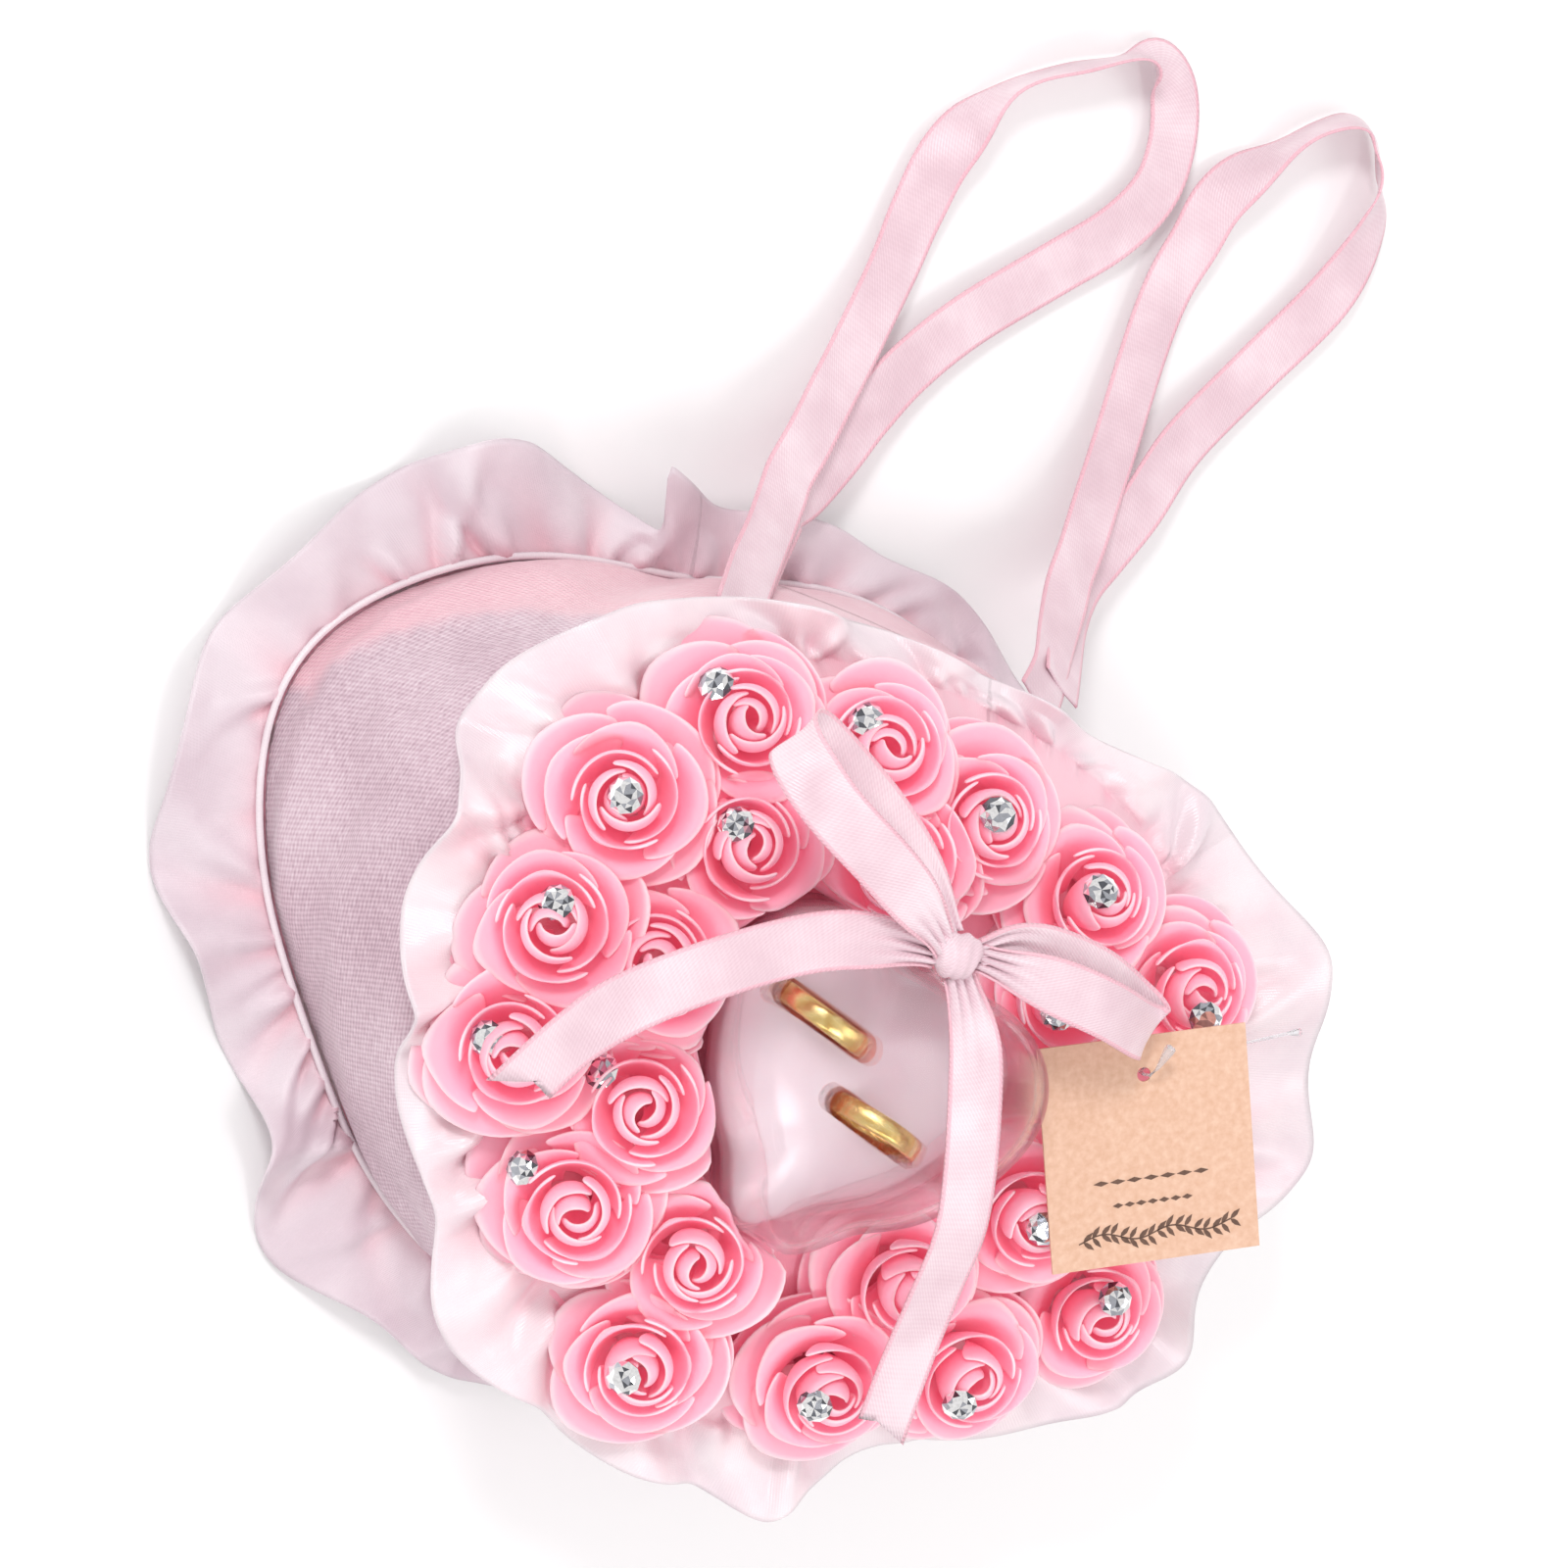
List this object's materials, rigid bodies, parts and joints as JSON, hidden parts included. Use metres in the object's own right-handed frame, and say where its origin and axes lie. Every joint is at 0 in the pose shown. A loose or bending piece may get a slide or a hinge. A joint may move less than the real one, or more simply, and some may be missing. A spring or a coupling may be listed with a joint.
{
  "type": "ring bearer pillow",
  "caption": "Stuffed heart-shaped ring pillow with ruffled seams, foam roses round a clear lidded ring box, a ribbon bow, a card tag and ribbon wrist loops.",
  "frame": {"origin": "middle of the flat back face that the pillow rests on", "axes": "+Z from the back panel out through the roses and the ring box, +Y towards the heart's cleft and the handles"},
  "size_m": [0.2896, 0.2933, 0.1155],
  "materials": {
    "satin": "glossy woven satin",
    "band": "satin, wrong side out, moire sheen",
    "filling": "polyester fibre filling",
    "foam": "matt craft foam",
    "rhinestone": "faceted, silvered",
    "clear_plastic": "clear moulded plastic",
    "pearl_plastic": "pearl lustre",
    "gold": "polished, gold-coloured",
    "ribbon": "single-face satin ribbon",
    "card": "matt kraft card",
    "nylon": "translucent nylon"
  },
  "bodies": {
    "pillow": {"back_panel": "satin", "front_cover": "satin", "back_ruffle": "satin", "front_ruffle": "satin", "side_band": "band", "stuffing": "filling", "rose_01": "foam", "rose_02": "foam", "rose_03": "foam", "rose_04": "foam", "rose_05": "foam", "rose_06": "foam", "rose_07": "foam", "rose_08": "foam", "rose_09": "foam", "rose_10": "foam", "rose_11": "foam", "rose_12": "foam", "rose_13": "foam", "rose_14": "foam", "rose_15": "foam", "rose_16": "foam", "rose_17": "foam", "rose_18": "foam", "rose_19": "foam", "rose_20": "foam", "rose_21": "foam", "rose_22": "foam", "gem_01": "rhinestone", "gem_02": "rhinestone", "gem_03": "rhinestone", "gem_04": "rhinestone", "gem_05": "rhinestone", "gem_06": "rhinestone", "gem_07": "rhinestone", "gem_09": "rhinestone", "gem_10": "rhinestone", "gem_11": "rhinestone", "gem_13": "rhinestone", "gem_14": "rhinestone", "gem_15": "rhinestone", "gem_16": "rhinestone", "gem_17": "rhinestone", "gem_18": "rhinestone", "ring_box_base": "clear_plastic", "ring_insert": "pearl_plastic", "handle_left_base": "ribbon", "handle_right_base": "ribbon"},
    "lid": {"box_lid": "clear_plastic", "bow_knot": "ribbon", "bow_loop_upper": "ribbon", "bow_loop_right": "ribbon", "bow_tail_left": "ribbon", "bow_tail_down": "ribbon", "tag_fastener": "nylon"},
    "tag": {"tag_card": "card"},
    "ring_1": {"ring_1": "gold"},
    "ring_2": {"ring_2": "gold"},
    "handle_left": {"handle_left_loop": "ribbon"},
    "handle_right": {"handle_right_loop": "ribbon"}
  },
  "joints": [
    {"name": "lid_lift", "type": "slide", "parent": "pillow", "child": "lid", "axis": [0, 0, 1], "range_m": [0, 0.05]},
    {"name": "tag_turn", "type": "hinge", "parent": "lid", "child": "tag", "pos_m": [0.082, -0.02, 0.094], "axis": [-0.1956, 0.0782, 0.9776], "range_deg": [-20, 20]},
    {"name": "ring_1_lift", "type": "slide", "parent": "pillow", "child": "ring_1", "axis": [0, 0, 1], "range_m": [0, 0.0035]},
    {"name": "ring_2_lift", "type": "slide", "parent": "pillow", "child": "ring_2", "axis": [0, 0, 1], "range_m": [0, 0.0035]},
    {"name": "handle_left_swing", "type": "hinge", "parent": "pillow", "child": "handle_left", "pos_m": [0.0343, 0.093, 0.0245], "axis": [0.7071, -0.7071, 0], "range_deg": [0, 85]},
    {"name": "handle_right_swing", "type": "hinge", "parent": "pillow", "child": "handle_right", "pos_m": [0.1063, 0.0722, 0.0195], "axis": [0.722, -0.6919, 0], "range_deg": [0, 85]}
  ]
}
